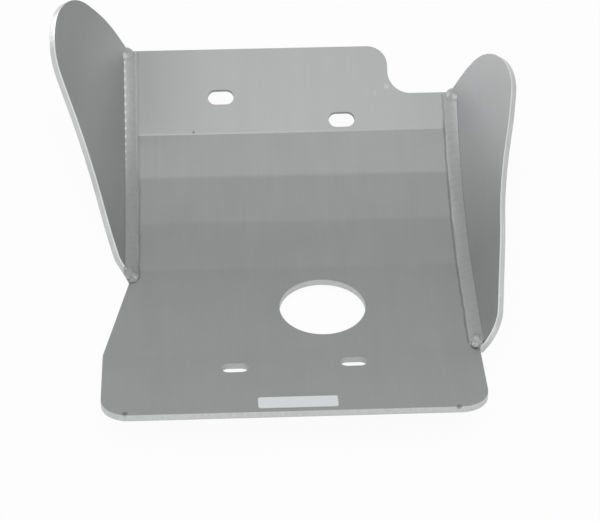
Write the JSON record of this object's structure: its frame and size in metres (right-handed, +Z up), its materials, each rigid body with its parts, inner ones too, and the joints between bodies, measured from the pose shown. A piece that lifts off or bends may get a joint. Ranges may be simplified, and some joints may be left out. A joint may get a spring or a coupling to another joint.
{
  "type": "motorcycle skid plate",
  "caption": "Folded aluminium skid plate with a round drain hole, bolt slots and two rounded side wings welded along its edges.",
  "frame": {"origin": "middle of the underside of the first rising panel, which the plate rests on", "axes": "+Y from the lip to the raised end, +X to the side of the drain hole and the corner notch, +Z up out of the concave side"},
  "size_m": [0.2785, 0.2844, 0.0967],
  "materials": {
    "plate": "mill finish, faint brushing along the sheet",
    "wing": "satin",
    "weld": "fillet weld, rippled and lightly dressed",
    "sticker": "matt white film"
  },
  "bodies": {
    "root": {"main_plate": "plate", "left_wing": "wing", "right_wing": "wing", "left_weld": "weld", "right_weld": "weld", "sticker": "sticker"}
  },
  "joints": []
}
